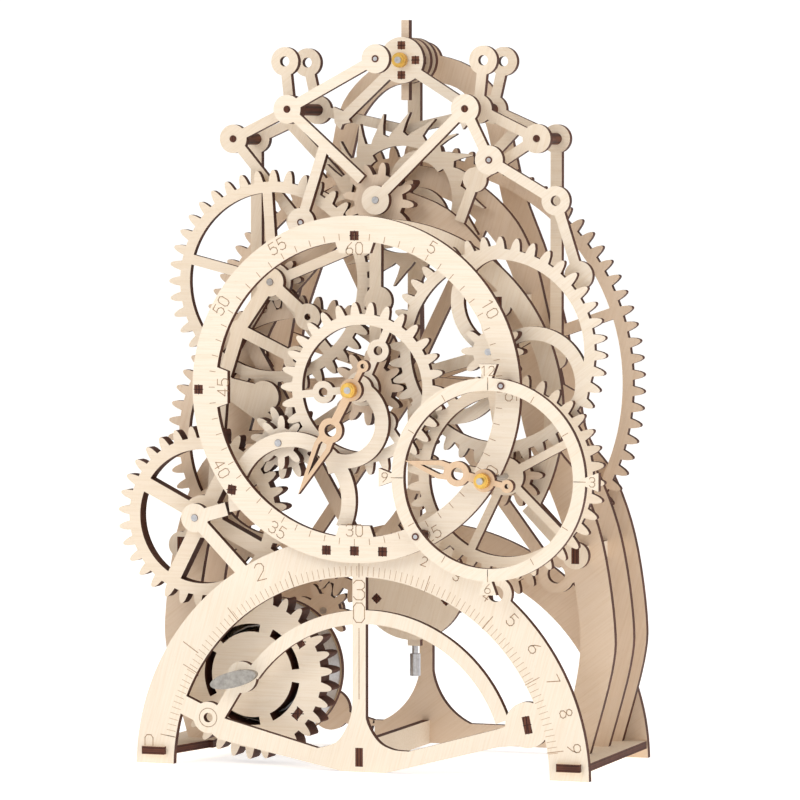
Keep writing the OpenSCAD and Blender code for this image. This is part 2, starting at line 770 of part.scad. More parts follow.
module pendulum_hub() color(birch_dark) {
  translate([x_shift - 1.5, y_escape + ply_t + y_shift + 1.2, hub_c[1] + 3])
    cube([ply_t, 3.6, 12.2]);
  translate([x_shift - 1.5, y_escape + ply_t + y_shift + 1.2, hub_c[1] - 15])
    cube([ply_t, 3.6, 12]);
  sheet(y_escape, y_bob + ply_t - y_escape) for (k = [0 : 3])
    translate(hub_c) rotate(90 * k) slot([5.6, 0], 3, 3);
  sheet(y_escape + ply_t + 5, 3) difference() {
    disc(hub_c, 8.7);
    disc(hub_c, 2);
    for (k = [0 : 3]) translate(hub_c) rotate(90 * k) slot([5.6, 0], 3, 3);
  }
}

module pendulum() color(birch_dark) {
  sheet(y_rod) difference() {
    union() {
      disc(hub_c, 8.7);
      bar(hub_c, [0, bob_z - 24], 5);
    }
    disc(hub_c, 2);
  }
  sheet(y_bob) difference() {
    disc([0, bob_z], bob_r, $fn = 96);
    for (s = [-1, 1]) slot([s * 14, bob_z - 6], 3, 3, 45);
  }
}

module hub_arbor() color(steel) {
  rod(hub_c, 2, y_escape, y_frame_3 + ply_t + 0.4);
  rod(hub_c, arbor_r, y_escape - 4.4, y_escape);
}
module hub_nut() nut(hub_c, y_escape - 4);

module rating_nut() color(steel)
  translate([x_shift, y_rod + ply_t / 2 + y_shift, 29.5]) {
    cylinder(h = bob_z - 24 - 29.5, r = 1.2);
    cylinder(h = 8.4, r = 2.1);
  }

base_plates();
front_arch();
front_bridge();
bearing_plate();
front_frame();
middle_frame();
back_frame();
back_arch();
frame_ties();
dial_ties();
minute_dial();
hour_dial();
crown_front_left();
crown_front_right();
crown_crank_left();
crown_crank_right();
crown_rear_left();
crown_rear_right();
crown_pins();
great_wheel_stud();
finial_spike();
great_wheel();
idler_pinion();
idler_arbor();
barrel_wheel();
drive_pinion();
barrel_posts();
mainspring();
winding_arbor();
winding_key();
winding_wheel();
winding_wheel_arbor();
third_wheel();
third_pinions();
third_arbor();
fourth_wheel();
fourth_pinion();
fourth_arbor();
escape_wheel();
escape_pinions();
escape_arbor();
centre_wheel();
minute_pinion();
minute_arbor();
minute_hand();
minute_nut();
motion_wheel();
motion_pinion();
motion_arbor();
hour_wheel();
hour_collet();
hour_arbor();
hour_hand();
hour_nut();
anchor();
pendulum_hub();
pendulum();
hub_arbor();
hub_nut();
rating_nut();
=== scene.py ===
# %% [markdown]
# # A plywood pendulum clock, dressed for its portrait
# The clock is a laser-cut kit. Every plate, wheel and arm is a flat part cut from
# 3 mm birch ply, so its looks come from four things: the pale face of the sheet,
# the burnt brown edge that the laser leaves, fine engraving, and a few bright metal
# pieces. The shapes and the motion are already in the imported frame, and this script
# loads it and never moves it.

# %% Load the frame
import json
import math

import bmesh
import bpy
from mathutils import Matrix, Vector


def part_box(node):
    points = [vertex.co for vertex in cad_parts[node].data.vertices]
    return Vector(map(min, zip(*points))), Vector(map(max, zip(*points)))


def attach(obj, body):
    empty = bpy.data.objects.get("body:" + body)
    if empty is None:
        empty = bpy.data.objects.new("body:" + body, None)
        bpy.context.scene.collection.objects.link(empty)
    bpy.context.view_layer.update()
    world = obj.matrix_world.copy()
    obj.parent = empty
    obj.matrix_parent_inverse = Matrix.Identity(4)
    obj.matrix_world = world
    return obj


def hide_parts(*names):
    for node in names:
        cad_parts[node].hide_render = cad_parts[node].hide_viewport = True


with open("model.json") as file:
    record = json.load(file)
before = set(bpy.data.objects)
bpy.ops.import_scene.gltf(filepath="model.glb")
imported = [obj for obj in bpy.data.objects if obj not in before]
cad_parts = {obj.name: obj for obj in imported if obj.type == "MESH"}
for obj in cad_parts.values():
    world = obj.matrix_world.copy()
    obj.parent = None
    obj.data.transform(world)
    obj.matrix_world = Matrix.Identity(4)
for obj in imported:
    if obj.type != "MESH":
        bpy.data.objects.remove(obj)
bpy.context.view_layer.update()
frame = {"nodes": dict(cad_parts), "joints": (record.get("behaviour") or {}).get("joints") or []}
nodes = frame["nodes"]
MM = 0.001
SHEET = 3.0 * MM

# %% [markdown]
# ## Where things are
# All places come from the frame. Wheels turn on axes that run along Y, so the joints
# give each axis as an x and a z, and the boxes of the plates give the faces that the
# engraving lies on.

# %% Axes and faces
axes = {j["child"]: Vector(j["pos_m"]) for j in frame["joints"]}
minute_axis = axes["minute"]
hour_axis = axes["hour"]
barrel_axis = axes["barrel"]
arch_low, arch_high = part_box("front_arch")
middle_x = (arch_low.x + arch_high.x) / 2


def front_of(node):
    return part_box(node)[0].y


def back_of(node):
    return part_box(node)[1].y


print("minute axis", tuple(round(v / MM, 1) for v in minute_axis))

# %% [markdown]
# ## The camera
# The clock is seen from a little to its right and a little above, from far enough
# away that the plates hardly converge. A long lens does that.

# %% Camera and studio
AZIMUTH = math.radians(19.3)
PITCH = math.radians(2.92)
DISTANCE = 1.8
LENS = 220.3
target = Vector((middle_x + 16.05 * MM, arch_low.y, 138.2 * MM))
look = Vector((-math.sin(AZIMUTH) * math.cos(PITCH), math.cos(AZIMUTH) * math.cos(PITCH),
               -math.sin(PITCH)))
camera_data = bpy.data.cameras.new("camera")
camera_data.lens = LENS
camera_data.sensor_width = 36
camera_data.clip_end = 20
camera = bpy.data.objects.new("camera", camera_data)
camera.location = target - look * DISTANCE
camera.rotation_euler = look.to_track_quat("-Z", "Y").to_euler()
bpy.context.scene.collection.objects.link(camera)
bpy.context.scene.camera = camera


def soft_light(name, place, size, power, colour=(1, 1, 1)):
    data = bpy.data.lights.new(name, "AREA")
    data.shape = "RECTANGLE"
    data.size = size[0]
    data.size_y = size[1]
    data.energy = power
    data.color = colour
    lamp = bpy.data.objects.new(name, data)
    lamp.location = place
    lamp.rotation_euler = (target - Vector(place)).to_track_quat("-Z", "Y").to_euler()
    bpy.context.scene.collection.objects.link(lamp)
    return lamp


KEY_POWER, FILL_POWER, TOP_POWER = 9.2, 3, 5
soft_light("key_light", (-0.75, -1.5, 1.15), (1.0, 0.9), KEY_POWER)
soft_light("fill_light", (1.5, -0.9, 0.6), (1.2, 1.2), FILL_POWER)
soft_light("top_light", (0.1, 0.3, 1.5), (1.4, 1.4), TOP_POWER)

ROOM_LEVEL = 0.52
BACKDROP_EXTRA = 0.58
ROOM_COLOUR = (1, 0.94, 0.88, 1)
BACKDROP_COLOUR = (1, 1, 1, 1)
world = bpy.data.worlds.new("studio")
bpy.context.scene.world = world
world.use_nodes = True
backdrop_light = world.node_tree.nodes["Background"]
seen = world.node_tree.nodes.new("ShaderNodeLightPath").outputs["Is Camera Ray"]
warmth = world.node_tree.nodes.new("ShaderNodeMix")
warmth.data_type = "RGBA"
warmth.inputs[6].default_value = ROOM_COLOUR
warmth.inputs[7].default_value = BACKDROP_COLOUR
world.node_tree.links.new(seen, warmth.inputs[0])
world.node_tree.links.new(warmth.outputs[2], backdrop_light.inputs["Color"])
brightness = world.node_tree.nodes.new("ShaderNodeMath")
brightness.operation = "MULTIPLY_ADD"
world.node_tree.links.new(seen, brightness.inputs[0])
brightness.inputs[1].default_value = BACKDROP_EXTRA
brightness.inputs[2].default_value = ROOM_LEVEL
world.node_tree.links.new(brightness.outputs[0], backdrop_light.inputs["Strength"])
bpy.context.scene.view_settings.view_transform = "Standard"
print("camera", round(DISTANCE, 2), "m away, lens", LENS, "mm")

# %% [markdown]
# ## Material helpers
# A material here is a small graph. These helpers keep the graphs short: one makes a
# node and sets its sockets, one joins two sockets.

# %% Small graph helpers
def add(tree, kind, **values):
    node = tree.nodes.new(kind)
    for key, value in values.items():
        setattr(node, key, value)
    return node


def put(tree, node, name, value):
    socket = node.inputs[name]
    if isinstance(value, bpy.types.NodeSocket):
        tree.links.new(value, socket)
    else:
        socket.default_value = value


def calc(tree, operation, a, b=None, c=None, clamp=False):
    node = add(tree, "ShaderNodeMath", operation=operation, use_clamp=clamp)
    for index, value in enumerate((a, b, c)):
        if value is not None:
            put(tree, node, index, value)
    return node.outputs[0]


def blend_colours(tree, factor, first, second, mode="MIX"):
    node = add(tree, "ShaderNodeMix", data_type="RGBA", blend_type=mode)
    put(tree, node, "Factor", factor)
    put(tree, node, 6, first)
    put(tree, node, 7, second)
    return node.outputs[2]


def ramp(tree, value, stops):
    node = add(tree, "ShaderNodeValToRGB")
    put(tree, node, "Fac", value)
    elements = node.color_ramp.elements
    while len(elements) < len(stops):
        elements.new(0.5)
    for element, (place, colour) in zip(elements, stops):
        element.position = place
        element.color = (*colour, 1)
    return node.outputs["Color"]


def new_group(name, inputs, outputs):
    group = bpy.data.node_groups.new(name, "ShaderNodeTree")
    for label, kind, default in inputs:
        socket = group.interface.new_socket(name=label, in_out="INPUT", socket_type=kind)
        socket.default_value = default
    for label, kind in outputs:
        group.interface.new_socket(name=label, in_out="OUTPUT", socket_type=kind)
    return group, group.nodes.new("NodeGroupInput").outputs, group.nodes.new("NodeGroupOutput")


# %% [markdown]
# ## Birch grain
# A ply face is a peeled veneer. It shows long, faint streaks with broad clouds of
# warmer and paler wood, and short dark flecks. Noise that is stretched hard along one
# direction gives the streaks. The group takes the direction as an angle, because each
# part was laid on its sheet a different way.

# %% Grain group
grain, g_in, g_out = new_group(
    "birch_grain",
    [("Direction", "NodeSocketFloat", 0.0), ("Seed", "NodeSocketFloat", 0.0)],
    [("Streaks", "NodeSocketFloat"), ("Clouds", "NodeSocketFloat"),
     ("Flecks", "NodeSocketFloat")])
coords = add(grain, "ShaderNodeTexCoord").outputs["Object"]
turned = add(grain, "ShaderNodeVectorRotate", rotation_type="Y_AXIS")
put(grain, turned, "Vector", coords)
put(grain, turned, "Angle", g_in["Direction"])
stretched = add(grain, "ShaderNodeVectorMath", operation="MULTIPLY")
put(grain, stretched, 0, turned.outputs[0])
put(grain, stretched, 1, (60, 900, 1500))


def seeded_noise(tree, vector, seed, scale, detail, roughness=0.5):
    node = add(tree, "ShaderNodeTexNoise", noise_dimensions="4D")
    put(tree, node, "Vector", vector)
    put(tree, node, "W", seed)
    put(tree, node, "Scale", scale)
    put(tree, node, "Detail", detail)
    put(tree, node, "Roughness", roughness)
    return node.outputs["Fac"]


put(grain, g_out, "Streaks", seeded_noise(grain, stretched.outputs[0], g_in["Seed"], 1.0, 4.0))
put(grain, g_out, "Clouds", seeded_noise(grain, turned.outputs[0], g_in["Seed"], 28.0, 2.0))
fleck_space = add(grain, "ShaderNodeVectorMath", operation="MULTIPLY")
put(grain, fleck_space, 0, turned.outputs[0])
put(grain, fleck_space, 1, (500, 2500, 5200))
fleck_noise = seeded_noise(grain, fleck_space.outputs[0], g_in["Seed"], 1.0, 1.0)
put(grain, g_out, "Flecks", calc(grain, "GREATER_THAN", fleck_noise, 0.7))
print("grain group nodes", len(grain.nodes))

# %% [markdown]
# ## Burnt edge
# A laser burns the cut. The edge turns dark red-brown, the glue lines between the
# plies turn nearly black, and the beam leaves fine upright scorch lines. The group
# measures how deep a point lies in its sheet and gives each ply its own tone.

# %% Burnt edge group
burnt, b_in, b_out = new_group(
    "burnt_edge",
    [("Depth", "NodeSocketFloat", 0.0), ("Seed", "NodeSocketFloat", 0.0),
     ("Scorch", "NodeSocketFloat", 1.0)],
    [("Color", "NodeSocketColor"), ("Height", "NodeSocketFloat")])
ply_tone = ramp(burnt, b_in["Depth"], [
    (0.00, (0.083, 0.026, 0.015)), (0.20, (0.104, 0.034, 0.018)), (0.25, (0.023, 0.006, 0.005)),
    (0.34, (0.057, 0.018, 0.011)), (0.47, (0.125, 0.044, 0.023)), (0.66, (0.062, 0.019, 0.011)),
    (0.73, (0.023, 0.006, 0.005)), (0.80, (0.099, 0.031, 0.018)), (1.00, (0.068, 0.021, 0.012))])
edge_coords = add(burnt, "ShaderNodeTexCoord").outputs["Object"]
edge_space = add(burnt, "ShaderNodeVectorMath", operation="MULTIPLY")
put(burnt, edge_space, 0, edge_coords)
put(burnt, edge_space, 1, (2200, 160, 2200))
scorch_noise = seeded_noise(burnt, edge_space.outputs[0], b_in["Seed"], 1.0, 3.0)
patches = seeded_noise(burnt, edge_coords, b_in["Seed"], 120.0, 2.0)
scorch = calc(burnt, "MULTIPLY", scorch_noise, 0.8)
scorch = calc(burnt, "ADD", scorch, calc(burnt, "MULTIPLY", patches, 1.5))
scorch = calc(burnt, "MULTIPLY", scorch, b_in["Scorch"])
scorch_colour = add(burnt, "ShaderNodeCombineXYZ")
for axis in ("X", "Y", "Z"):
    put(burnt, scorch_colour, axis, scorch)
put(burnt, b_out, "Color", blend_colours(burnt, 1.0, ply_tone, scorch_colour.outputs[0],
                                         "MULTIPLY"))
put(burnt, b_out, "Height", scorch_noise)
print("edge group nodes", len(burnt.nodes))

# %% [markdown]
# ## The ply material
# One function makes the material for each part from the two groups. It needs the front
# face and thickness of the sheet, the way its grain runs, and its tone. For parts set
# further back, that tone is darkened as painted shade. The face and the edge are told
# apart by the surface's direction: a part's faces look along the sheet's own axis, and
# its cut edges look across it.

# %% Ply material
def ply_material(name, front, thickness, tone, direction=0.0, seed=0.0, face_axis="Y",
                 scorch=1.0, all_edge=False):
    material = bpy.data.materials.new(name)
    material.use_nodes = True
    tree = material.node_tree
    shader = tree.nodes["Principled BSDF"]
    wood = add(tree, "ShaderNodeGroup", node_tree=grain)
    put(tree, wood, "Direction", direction)
    put(tree, wood, "Seed", seed)
    edge = add(tree, "ShaderNodeGroup", node_tree=burnt)
    place = add(tree, "ShaderNodeSeparateXYZ")
    put(tree, place, 0, add(tree, "ShaderNodeTexCoord").outputs["Object"])
    across = place.outputs[face_axis]
    depth = calc(tree, "DIVIDE", calc(tree, "SUBTRACT", across, front), thickness)
    plies = max(1, round(thickness / SHEET))
    put(tree, edge, "Depth", calc(tree, "FRACT", calc(tree, "MULTIPLY", depth, plies)))
    put(tree, edge, "Seed", seed)
    put(tree, edge, "Scorch", scorch)
    pale = tuple(min(1, c * 1.06) for c in tone)
    deep = (tone[0] * 0.90, tone[1] * 0.83, tone[2] * 0.72)
    face = ramp(tree, wood.outputs["Clouds"], [(0.3, tone), (0.7, pale)])
    streak = ramp(tree, wood.outputs["Streaks"], [(0.42, (0, 0, 0)), (0.78, (1, 1, 1))])
    face = blend_colours(tree, calc(tree, "MULTIPLY", streak, 0.55), face, (*deep, 1))
    fleck_share = calc(tree, "MULTIPLY", wood.outputs["Flecks"], 0.25)
    face = blend_colours(tree, fleck_share, face, (deep[0] * 0.8, deep[1] * 0.72,
                                                   deep[2] * 0.6, 1))
    normal = add(tree, "ShaderNodeSeparateXYZ")
    put(tree, normal, 0, add(tree, "ShaderNodeNewGeometry").outputs["True Normal"])
    facing = calc(tree, "ABSOLUTE", normal.outputs[face_axis])
    on_face = calc(tree, "GREATER_THAN", facing, 0.7)
    if all_edge:
        on_face = calc(tree, "MULTIPLY", on_face, 0.0)
    colour = blend_colours(tree, on_face, edge.outputs["Color"], face)
    put(tree, shader, "Base Color", colour)
    put(tree, shader, "Roughness", calc(tree, "MULTIPLY_ADD", wood.outputs["Streaks"], 0.2, 0.55))
    shader.inputs["Specular IOR Level"].default_value = 0.3
    relief = calc(tree, "MULTIPLY", wood.outputs["Streaks"], on_face)
    relief = calc(tree, "ADD", relief, edge.outputs["Height"])
    bump = add(tree, "ShaderNodeBump")
    put(tree, bump, "Height", relief)
    put(tree, bump, "Distance", 0.00012)
    put(tree, bump, "Strength", 0.35)
    put(tree, shader, "Normal", bump.outputs[0])
    return material


# Tones for the ply faces. The first is the lit face of the birch. The darker, warmer ones are the
# same birch darkened as painted shade, for parts that sit further back in the clock.
PALE = (0.890, 0.790, 0.660)
LIGHT = (0.845, 0.730, 0.590)
WARM_SHADE = (0.760, 0.610, 0.470)
DEEP_SHADE = (0.640, 0.480, 0.320)
HAND = (0.740, 0.540, 0.370)

# Each part's tone is set by how far back it sits, so the step from pale to warm and deep is
# painted shade, not a different wood.
tones = {
    "front_arch": PALE, "front_bridge": PALE, "minute_dial": PALE, "hour_dial": PALE,
    "crown_front_left": PALE, "crown_front_right": PALE, "centre_wheel": PALE,
    "motion_wheel": PALE, "anchor": PALE, "third_pinions": PALE, "motion_pinion": PALE,
    "winding_wheel": LIGHT, "fourth_wheel": LIGHT, "crown_crank_left": LIGHT,
    "crown_crank_right": LIGHT, "crown_rear_left": LIGHT, "crown_rear_right": LIGHT,
    "escape_wheel": LIGHT, "base_plates": LIGHT, "hour_wheel": LIGHT, "barrel_wheel": PALE,
    "fourth_pinion": WARM_SHADE, "escape_pinions": WARM_SHADE, "bearing_plate": LIGHT,
    "front_frame": WARM_SHADE, "middle_frame": WARM_SHADE, "back_frame": WARM_SHADE, "back_arch": WARM_SHADE,
    "great_wheel": WARM_SHADE, "third_wheel": WARM_SHADE, "pendulum": LIGHT, "pendulum_hub": WARM_SHADE,
    "finial_spike": WARM_SHADE, "minute_hand": HAND, "hour_hand": HAND,
    "drive_pinion": DEEP_SHADE, "idler_pinion": WARM_SHADE, "hour_collet": WARM_SHADE, "minute_pinion": WARM_SHADE,
    "frame_ties": PALE,
}
GRAIN_TURN = math.radians(37)
for number, (node_name, tone) in enumerate(sorted(tones.items())):
    body = nodes[node_name]
    start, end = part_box(node_name)
    flat = node_name == "base_plates"
    ties = node_name == "frame_ties"
    face_axis = "Z" if flat else "X" if ties else "Y"
    face_front = getattr(start, face_axis.lower())
    thick = getattr(end, face_axis.lower()) - face_front
    body.data.materials.clear()
    body.data.materials.append(ply_material(
        "ply_" + node_name, face_front, SHEET if ties else thick, tone,
        GRAIN_TURN * (number % 3), 1.7 * number, face_axis))
print("ply materials", len(tones))

# The spine board stands on edge between the two base plates
spine = nodes["base_plates"].data
spine.materials.append(ply_material("ply_spine", middle_x - SHEET / 2, SHEET, LIGHT, 0.0, 5.1,
                                    "X"))
for face in spine.polygons:
    if abs(face.center.x - middle_x) < 1.6 * MM:
        face.material_index = 1

# %% [markdown]
# ## End grain
# Tenons, posts and dowels show cut ends to the front. Those are burnt all over, so
# they take the edge colour on every side.

# %% Tenons and dowels
for number, node_name in enumerate(("dial_ties", "crown_pins", "barrel_posts")):
    body = nodes[node_name]
    start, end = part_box(node_name)
    body.data.materials.clear()
    body.data.materials.append(ply_material("ends_" + node_name, start.x, SHEET, WARM_SHADE,
                                            0.0, 3.1 * number, "X", 1.0, True))
print("burnt end materials", number + 1)

# %% [markdown]
# ## Metal
# Three metal finishes: bright drawn steel for arbors, spring and rating nut, a worn
# nickel for the key, and turned brass for the nuts. A little noise in the roughness
# keeps them from looking like plastic.

# %% Metal materials
def metal(name, colour, rough, scale, wear):
    material = bpy.data.materials.new(name)
    material.use_nodes = True
    tree = material.node_tree
    shader = tree.nodes["Principled BSDF"]
    shader.inputs["Metallic"].default_value = 1.0
    place = add(tree, "ShaderNodeTexCoord").outputs["Object"]
    blotch = seeded_noise(tree, place, 2.0, scale, 4.0, 0.6)
    dark = tuple(c * (1 - wear) for c in colour)
    put(tree, shader, "Base Color", ramp(tree, blotch, [(0.35, dark), (0.65, colour)]))
    put(tree, shader, "Roughness", calc(tree, "MULTIPLY_ADD", blotch, 0.25, rough))
    bump = add(tree, "ShaderNodeBump")
    put(tree, bump, "Height", blotch)
    put(tree, bump, "Distance", 0.0001)
    put(tree, bump, "Strength", 0.3)
    put(tree, shader, "Normal", bump.outputs[0])
    return material


steel = metal("drawn_steel", (0.62, 0.63, 0.66), 0.22, 900, 0.25)
nickel = metal("worn_nickel", (0.45, 0.43, 0.40), 0.3, 600, 0.35)
brass = metal("turned_brass", (0.95, 0.62, 0.16), 0.2, 700, 0.2)
for node_name, body in nodes.items():
    finish = None
    if node_name.endswith("_arbor") or node_name in ("rating_nut", "mainspring",
                                                     "great_wheel_stud"):
        finish = steel
    elif node_name == "winding_key":
        finish = nickel
    elif node_name.endswith("_nut"):
        finish = brass
    if finish:
        body.data.materials.clear()
        body.data.materials.append(finish)
print("metal pieces", sum(n.endswith(("_arbor", "_nut")) for n in nodes))

# %% [markdown]
# ## Repeats by rule
# Tick marks, pin heads and knurling all repeat. Each has a small Geometry Nodes tree
# with named sizes. The result is turned into a plain mesh before it joins the clock.

# %% Geometry Nodes helpers
def new_tree(name, inputs):
    tree = bpy.data.node_groups.new(name, "GeometryNodeTree")
    for label, kind, default in inputs:
        socket = tree.interface.new_socket(name=label, in_out="INPUT", socket_type=kind)
        if default is not None:
            socket.default_value = default
    tree.interface.new_socket(name="Geometry", in_out="OUTPUT",
                              socket_type="NodeSocketGeometry")
    return tree, tree.nodes.new("NodeGroupInput").outputs, tree.nodes.new("NodeGroupOutput")


def finish_tree(tree, geometry, material, out):
    realize = add(tree, "GeometryNodeRealizeInstances")
    put(tree, realize, "Geometry", geometry)
    paint = add(tree, "GeometryNodeSetMaterial")
    put(tree, paint, "Geometry", realize.outputs[0])
    put(tree, paint, "Material", material)
    put(tree, out, "Geometry", paint.outputs[0])


def vector(tree, x, y, z):
    node = add(tree, "ShaderNodeCombineXYZ")
    for axis, value in zip("XYZ", (x, y, z)):
        put(tree, node, axis, value)
    return node.outputs[0]


def bake(name, tree, values, body, source=None):
    obj = bpy.data.objects.new(name, source or bpy.data.meshes.new(name))
    bpy.context.scene.collection.objects.link(obj)
    modifier = obj.modifiers.new("repeat", "NODES")
    modifier.node_group = tree
    for item in tree.interface.items_tree:
        if item.item_type == "SOCKET" and item.in_out == "INPUT" and item.name in values:
            modifier[item.identifier] = values[item.name]
    bpy.context.view_layer.update()
    ready = obj.evaluated_get(bpy.context.evaluated_depsgraph_get())
    baked = bpy.data.meshes.new_from_object(ready)
    obj.modifiers.remove(modifier)
    obj.data = baked
    baked.name = name
    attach(obj, body)
    return obj


# %% [markdown]
# The ring of ticks puts points round an arc, and a thin bar on each point, turned to
# look at the centre.

# %% Tick ring
ring_tree, r_in, r_out = new_tree("tick_ring", [
    ("Centre", "NodeSocketVector", None), ("Radius", "NodeSocketFloat", 0.05),
    ("Count", "NodeSocketInt", 12), ("Start", "NodeSocketFloat", 0.0),
    ("Step", "NodeSocketFloat", 0.1), ("Length", "NodeSocketFloat", 0.002),
    ("Width", "NodeSocketFloat", 0.0002), ("Material", "NodeSocketMaterial", None)])
index = add(ring_tree, "GeometryNodeInputIndex").outputs[0]
turn = calc(ring_tree, "MULTIPLY_ADD", index, r_in["Step"], r_in["Start"])
offset = vector(ring_tree,
                calc(ring_tree, "MULTIPLY", calc(ring_tree, "COSINE", turn), r_in["Radius"]), 0,
                calc(ring_tree, "MULTIPLY", calc(ring_tree, "SINE", turn), r_in["Radius"]))
spot = add(ring_tree, "ShaderNodeVectorMath", operation="ADD")
put(ring_tree, spot, 0, offset)
put(ring_tree, spot, 1, r_in["Centre"])
points = add(ring_tree, "GeometryNodePoints")
put(ring_tree, points, "Count", r_in["Count"])
put(ring_tree, points, "Position", spot.outputs[0])
tick = add(ring_tree, "GeometryNodeMeshCube")
put(ring_tree, tick, "Size", vector(ring_tree, r_in["Length"], 0.04 * MM, r_in["Width"]))
placed = add(ring_tree, "GeometryNodeInstanceOnPoints")
put(ring_tree, placed, "Points", points.outputs[0])
put(ring_tree, placed, "Instance", tick.outputs["Mesh"])
put(ring_tree, placed, "Rotation",
    vector(ring_tree, 0, calc(ring_tree, "MULTIPLY", turn, -1.0), 0))
finish_tree(ring_tree, placed.outputs[0], r_in["Material"], r_out)

# %% [markdown]
# A pin head is a short round bar on its own axis, set on each point of a mesh. Two
# passes make each head: a dark burnt ring, and a bright centre that stands a little
# prouder.

# %% Pin heads
pin_tree, p_in, p_out = new_tree("pin_heads", [
    ("Points", "NodeSocketGeometry", None), ("Radius", "NodeSocketFloat", 0.001),
    ("Height", "NodeSocketFloat", 0.0003), ("Material", "NodeSocketMaterial", None)])
pin = add(pin_tree, "GeometryNodeMeshCylinder")
pin.inputs["Vertices"].default_value = 24
put(pin_tree, pin, "Radius", p_in["Radius"])
put(pin_tree, pin, "Depth", p_in["Height"])
pins = add(pin_tree, "GeometryNodeInstanceOnPoints")
put(pin_tree, pins, "Points", p_in["Points"])
put(pin_tree, pins, "Instance", pin.outputs["Mesh"])
put(pin_tree, pins, "Rotation", vector(pin_tree, math.pi / 2, 0, 0))
finish_tree(pin_tree, pins.outputs[0], p_in["Material"], p_out)

# %% [markdown]
# A knurled nut is a round body, a narrower collar, and a ring of small square ridges
# turned on edge.

# %% Knurled nut
nut_tree, n_in, n_out = new_tree("knurled_nut", [
    ("Centre", "NodeSocketVector", None), ("Radius", "NodeSocketFloat", 0.0027),
    ("Height", "NodeSocketFloat", 0.003), ("Ridges", "NodeSocketInt", 26),
    ("Material", "NodeSocketMaterial", None)])
nut_index = add(nut_tree, "GeometryNodeInputIndex").outputs[0]
nut_turn = calc(nut_tree, "DIVIDE", calc(nut_tree, "MULTIPLY", nut_index, math.tau),
                n_in["Ridges"])
ridge_points = add(nut_tree, "GeometryNodePoints")
put(nut_tree, ridge_points, "Count", n_in["Ridges"])
put(nut_tree, ridge_points, "Position", vector(
    nut_tree, calc(nut_tree, "MULTIPLY", calc(nut_tree, "COSINE", nut_turn), n_in["Radius"]), 0,
    calc(nut_tree, "MULTIPLY", calc(nut_tree, "SINE", nut_turn), n_in["Radius"])))
ridge = add(nut_tree, "GeometryNodeMeshCube")
put(nut_tree, ridge, "Size", vector(nut_tree, 0.36 * MM, n_in["Height"], 0.36 * MM))
ridges = add(nut_tree, "GeometryNodeInstanceOnPoints")
put(nut_tree, ridges, "Points", ridge_points.outputs[0])
put(nut_tree, ridges, "Instance", ridge.outputs["Mesh"])
put(nut_tree, ridges, "Rotation",
    vector(nut_tree, 0, calc(nut_tree, "SUBTRACT", math.pi / 4, nut_turn), 0))
pieces = add(nut_tree, "GeometryNodeJoinGeometry")
for radius_share, height_share in ((1.0, 0.9), (0.82, 1.16), (0.45, 1.30)):
    disc = add(nut_tree, "GeometryNodeMeshCylinder")
    disc.inputs["Vertices"].default_value = 40
    put(nut_tree, disc, "Radius", calc(nut_tree, "MULTIPLY", n_in["Radius"], radius_share))
    put(nut_tree, disc, "Depth", calc(nut_tree, "MULTIPLY", n_in["Height"], height_share))
    laid = add(nut_tree, "GeometryNodeTransform")
    put(nut_tree, laid, "Geometry", disc.outputs["Mesh"])
    laid.inputs["Rotation"].default_value = (math.pi / 2, 0, 0)
    nut_tree.links.new(laid.outputs[0], pieces.inputs[0])
nut_tree.links.new(ridges.outputs[0], pieces.inputs[0])
moved = add(nut_tree, "GeometryNodeTransform")
put(nut_tree, moved, "Geometry", pieces.outputs[0])
put(nut_tree, moved, "Translation", n_in["Centre"])
finish_tree(nut_tree, moved.outputs[0], n_in["Material"], n_out)

# %% [markdown]
# ## Engraving
# The laser also draws. Its lines are thin, light brown and slightly uneven. They are
# laid as very thin meshes just proud of the face they mark. The tenon marks use a
# darker line, because there the joint itself is burnt.

# %% Line materials
def line_material(name, light, dark):
    material = bpy.data.materials.new(name)
    material.use_nodes = True
    tree = material.node_tree
    shader = tree.nodes["Principled BSDF"]
    place = add(tree, "ShaderNodeTexCoord").outputs["Object"]
    blotch = seeded_noise(tree, place, 4.0, 1400, 2.0)
    put(tree, shader, "Base Color", ramp(tree, blotch, [(0.35, dark), (0.65, light)]))
    shader.inputs["Roughness"].default_value = 0.9
    return material


engraved = line_material("engraved_line", (0.50, 0.33, 0.20), (0.34, 0.20, 0.11))
faint = line_material("faint_line", (0.62, 0.45, 0.30), (0.50, 0.34, 0.21))
joint_line = line_material("burnt_joint", (0.07, 0.022, 0.014), (0.03, 0.010, 0.008))
peg_end = line_material("peg_end", (0.21, 0.085, 0.048), (0.12, 0.044, 0.026))
burnt_ring = line_material("burnt_ring", (0.15, 0.055, 0.032), (0.07, 0.024, 0.016))

# %% [markdown]
# Numbers are single strokes. Each digit is drawn on a box 0.6 wide and 1 high.

